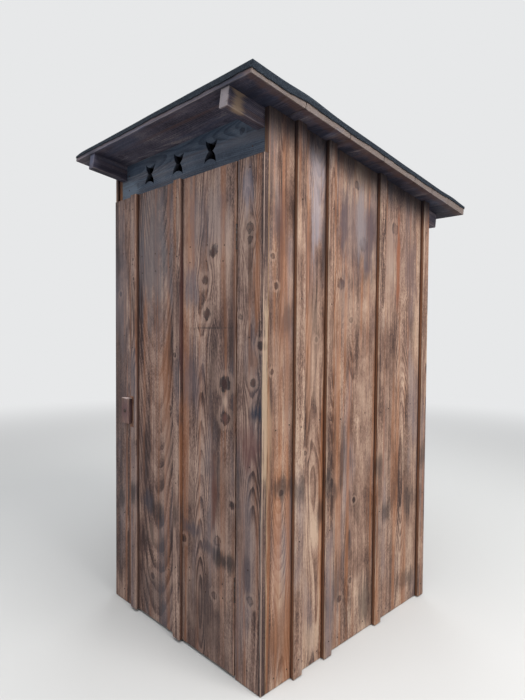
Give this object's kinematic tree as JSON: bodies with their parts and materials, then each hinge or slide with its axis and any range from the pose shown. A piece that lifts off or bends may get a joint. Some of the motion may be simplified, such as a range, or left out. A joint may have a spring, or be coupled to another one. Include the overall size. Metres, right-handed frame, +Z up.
{
  "type": "wooden outhouse",
  "caption": "Small board and batten cabin with a sloping felt roof, a hinged door with a turn button and a row of ornamental cut-outs above it.",
  "frame": {"origin": "centre of the footprint, on the ground, under the middle floor bearer", "axes": "+Z up; the door side faces -Y; +X runs to the right along the front, towards the hinge side"},
  "size_m": [1.198, 1.4431, 2.096],
  "materials": {
    "stained_boards": "brushed softwood, dark stained and weathered",
    "frame_timber": "planed softwood, unpainted",
    "roof_timber": "stained softwood",
    "roof_felt": "slate-chipped bitumen felt, matt",
    "steel": "zinc plated, dulled"
  },
  "bodies": {
    "cabin": {"door_header": "frame_timber", "floor_bearer": "frame_timber", "floor_planks": "frame_timber", "front_board_left": "stained_boards", "front_board_right": "stained_boards", "hinge_fixed_leaves": "steel", "left_battens": "stained_boards", "left_board_1": "stained_boards", "left_board_2": "stained_boards", "left_board_3": "stained_boards", "left_board_4": "stained_boards", "mid_rails": "frame_timber", "post_front_left": "frame_timber", "post_front_right": "frame_timber", "post_rear_left": "frame_timber", "post_rear_right": "frame_timber", "rafter_left": "roof_timber", "rafter_right": "roof_timber", "rear_battens": "stained_boards", "rear_board_1": "stained_boards", "rear_board_2": "stained_boards", "rear_board_3": "stained_boards", "rear_board_4": "stained_boards", "rear_top_rail": "frame_timber", "right_battens": "stained_boards", "right_board_1": "stained_boards", "right_board_2": "stained_boards", "right_board_3": "stained_boards", "right_board_4": "stained_boards", "roof_deck": "roof_timber", "roof_felt": "roof_felt", "sill_front": "frame_timber", "sill_left": "frame_timber", "sill_rear": "frame_timber", "sill_right": "frame_timber", "turn_button_pivot": "steel", "upper_front_panel": "stained_boards"},
    "door": {"door_batten_edge": "stained_boards", "door_batten_middle": "stained_boards", "door_board_left": "stained_boards", "door_board_right": "stained_boards", "door_brace": "stained_boards", "door_ledges": "stained_boards", "hinge_moving_leaves": "steel"},
    "latch": {"turn_button": "stained_boards"}
  },
  "joints": [
    {"name": "door_hinge", "type": "hinge", "parent": "cabin", "child": "door", "pos_m": [0.3625, -0.541, 0.9], "axis": [0, 0, 1], "range_deg": [0, 110]},
    {"name": "turn_button_pivot", "type": "hinge", "parent": "cabin", "child": "latch", "pos_m": [-0.376, -0.5533, 0.905], "axis": [0, 1, 0], "range_deg": [0, 90]}
  ]
}
